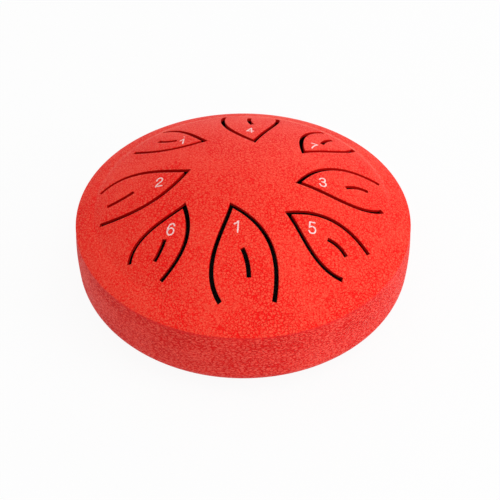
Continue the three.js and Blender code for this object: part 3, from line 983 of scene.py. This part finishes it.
def black_rubber():
    """Matt moulded rubber with a fine grain."""
    material, nodes, links, shader, grain = mottled("black_rubber", RUBBER_COLOURS,
                                                    RUBBER_GRAINS_PER_METRE, 3.0)
    bump = nodes.new("ShaderNodeBump")
    bump.inputs["Strength"].default_value = 0.4
    bump.inputs["Distance"].default_value = RUBBER_GRAIN_DEPTH
    links.new(grain, bump.inputs["Height"])
    links.new(bump.outputs["Normal"], shader.inputs["Normal"])
    shader.inputs["Roughness"].default_value = 0.75
    return material


def zinc_steel():
    """Bright zinc plating with a slight haze."""
    material, nodes, links, shader, haze = mottled("zinc_plated_steel", ZINC_COLOURS,
                                                   ZINC_HAZE_PER_METRE, 3.0)
    links.new(ranged(nodes, links, haze, 0, 1, *ZINC_ROUGHNESS), shader.inputs["Roughness"])
    shader.inputs["Metallic"].default_value = 1.0
    return material


# Driving values of the floor, the light and the camera, in metres, degrees and watts. The
# lens is given as its focal length in widths of the film.
FLOOR_SIZE = 3.0
FLOOR_GLOW = 0.93
FLOOR_GREY = 0.80
# Dark grey of the painted shadow under the drum
PAINTED_SHADOW_GREY = 0.04
UNDER_DRUM = (48 * MM, 62 * MM)
WORLD_LEVEL = 0.68
LAMP_DISTANCE = 1.3
SOFTBOXES = {
    "side_softbox": dict(azimuth=-22, elevation=18, size=0.7, watts=6.5),
    "top_softbox": dict(azimuth=-30, elevation=62, size=0.9, watts=4.0),
    "back_softbox": dict(azimuth=85, elevation=10, size=0.7, watts=2.5),
}
CAMERA_PLACE = (0, -0.3696, 0.36505)
CAMERA_DOWN = 43.647
CAMERA_HEADING = 0.4765
CAMERA_ROLL = 0.317
FILM_WIDTH = 36
LENS_WIDTHS = 2.2


# Floor, light and camera

def seen_directly(nodes, links):
    """One for what the eye sees, straight on, mirrored or through glass, and nought for light."""
    rays = nodes.new("ShaderNodeLightPath")
    seen = math_node(nodes, links, "MAXIMUM", rays.outputs["Is Camera Ray"],
                     rays.outputs["Is Glossy Ray"])
    return math_node(nodes, links, "MAXIMUM", seen, rays.outputs["Is Transmission Ray"])


def make_floor():
    """Plain pale floor that looks white but still takes the drum's shadow, with a dark disc of
    painted shadow under the drum.
    """
    bm = bmesh.new()
    bmesh.ops.create_grid(bm, x_segments=1, y_segments=1, size=FLOOR_SIZE)
    material, nodes, links, shader = new_material("pale_floor")
    shader.inputs["Roughness"].default_value = 1.0
    shader.inputs["Specular IOR Level"].default_value = 0.0
    glow = nodes.new("ShaderNodeEmission")
    glow.inputs["Strength"].default_value = 1.0
    place = nodes.new("ShaderNodeTexCoord")
    reach = nodes.new("ShaderNodeVectorMath")
    reach.operation = "LENGTH"
    links.new(place.outputs["Object"], reach.inputs[0])
    beside_drum = ranged(nodes, links, reach.outputs["Value"], *UNDER_DRUM, smooth=True)
    # Painted shadow: the floor's colour is dark grey under the drum, and it glows only beside the
    # drum
    colour = mixed_colour(nodes, links, beside_drum, [PAINTED_SHADOW_GREY] * 3, [FLOOR_GREY] * 3)
    links.new(colour, shader.inputs["Base Color"])
    share = math_node(nodes, links, "MULTIPLY", seen_directly(nodes, links),
                      math_node(nodes, links, "MULTIPLY", beside_drum, FLOOR_GLOW))
    mixed = nodes.new("ShaderNodeMixShader")
    links.new(share, mixed.inputs[0])
    links.new(shader.outputs[0], mixed.inputs[1])
    links.new(glow.outputs[0], mixed.inputs[2])
    links.new(mixed.outputs[0], nodes["Material Output"].inputs["Surface"])
    piece(bm, "floor", [material])


def make_world():
    """Even white light from all round, and a white background."""
    world = bpy.data.worlds.new("studio")
    world.use_nodes = True
    nodes, links = world.node_tree.nodes, world.node_tree.links
    background = nodes["Background"]
    background.inputs["Color"].default_value = (1, 1, 1, 1)
    level = ranged(nodes, links, seen_directly(nodes, links), 0, 1, WORLD_LEVEL, 1.0)
    links.new(level, background.inputs["Strength"])
    bpy.context.scene.world = world


def make_softbox(name, azimuth, elevation, size, watts):
    """Round area lamp that faces the drum."""
    lamp = bpy.data.lights.new(name, "AREA")
    lamp.shape = "DISK"
    lamp.size = size
    lamp.energy = watts
    obj = new_object(name, lamp)
    towards = Vector((*(math.cos(math.radians(elevation)) * polar(1, azimuth)),
                      math.sin(math.radians(elevation))))
    obj.location = LAMP_DISTANCE * towards
    obj.rotation_euler = (-towards).to_track_quat("-Z", "Y").to_euler()


def make_camera():
    """Camera where the photo was taken from."""
    camera = bpy.data.cameras.new("camera")
    camera.sensor_width = FILM_WIDTH
    camera.lens = FILM_WIDTH * LENS_WIDTHS
    camera.clip_start = 0.01
    obj = new_object("camera", camera)
    heading = Matrix.Rotation(math.radians(-CAMERA_HEADING), 4, "Z")
    tilt = Matrix.Rotation(math.radians(90 - CAMERA_DOWN), 4, "X")
    roll = Matrix.Rotation(math.radians(CAMERA_ROLL), 4, "Z")
    obj.matrix_world = Matrix.Translation(CAMERA_PLACE) @ heading @ tilt @ roll
    bpy.context.scene.camera = obj


# Assembly

def make_plate_and_tongues(paint, inner, edge, lip_paint_shaded):
    """The playing plate and its tongues, each tongue a separate piece whose faces run on from the
    plate at its root.
    """
    outlines = {name: tongue_outlines(tongue) for name, tongue in TONGUES.items()}
    placed, faces, drop = plate_plan(outlines)
    middles = placed[faces].mean(axis=1)
    cut_away = np.zeros(len(faces), bool)
    for outline in outlines.values():
        cut_away |= inside(middles, outline["slot"]) | inside(middles, outline["slit"])
    plate_faces = ~cut_away
    for name, outline in outlines.items():
        blade = inside(middles, outline["blade"]) & ~cut_away
        plate_faces &= ~blade
        tongue = sheet_piece(name.replace("tongue", "blade"), placed, faces[blade], drop,
                             [paint, inner, edge])
        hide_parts(name)
        root = outline["root"]
        start = on_plate(*root.mean(axis=0), SHEET / 2)
        inward = Vector((*(root[-1] - root[0]), 0)).normalized().cross(Vector((0, 0, 1)))
        if inward.dot(start) > 0:
            inward.negate()
        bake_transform(tongue)
    fixed(sheet_piece("plate", placed, faces[plate_faces], drop, [paint, inner, edge, lip_paint_shaded]),
          "red_paint", "top_shell")


wrinkles = wrinkle_group()
paint = red_paint("red_wrinkle_paint", wrinkles, **PLATE_COAT, rubbed_and_highlit=True)
# Darker copies of the coat: painted shade on the wall and on the lip
wall_paint_shaded = red_paint("red_wrinkle_paint_shaded_on_wall", wrinkles, **WALL_COAT_WITH_PAINTED_SHADE)
lip_paint_shaded = red_paint("red_wrinkle_paint_shaded_on_lip", wrinkles, **LIP_COAT_WITH_PAINTED_SHADE)
# Near-black painted shade for the inner faces
inner = inside_painted_shade()
make_plate_and_tongues(paint, inner, shaded_cut_edge(), lip_paint_shaded)

spots = foot_spots()
make_pan([wall_paint_shaded, inner], spots)
rubber, zinc = black_rubber(), zinc_steel()
for number, spot in spots.items():
    make_foot(number, spot, [rubber])
    make_washer(number, spot, [zinc])
    make_screw(number, spot, [zinc])

ink = white_ink(wrinkles)
for name, tongue in TONGUES.items():
    make_digit(name, tongue, [ink])

make_floor()
make_world()
for name, lamp in SOFTBOXES.items():
    make_softbox(name, **lamp)
make_camera()
bpy.context.scene.view_settings.view_transform = "Standard"
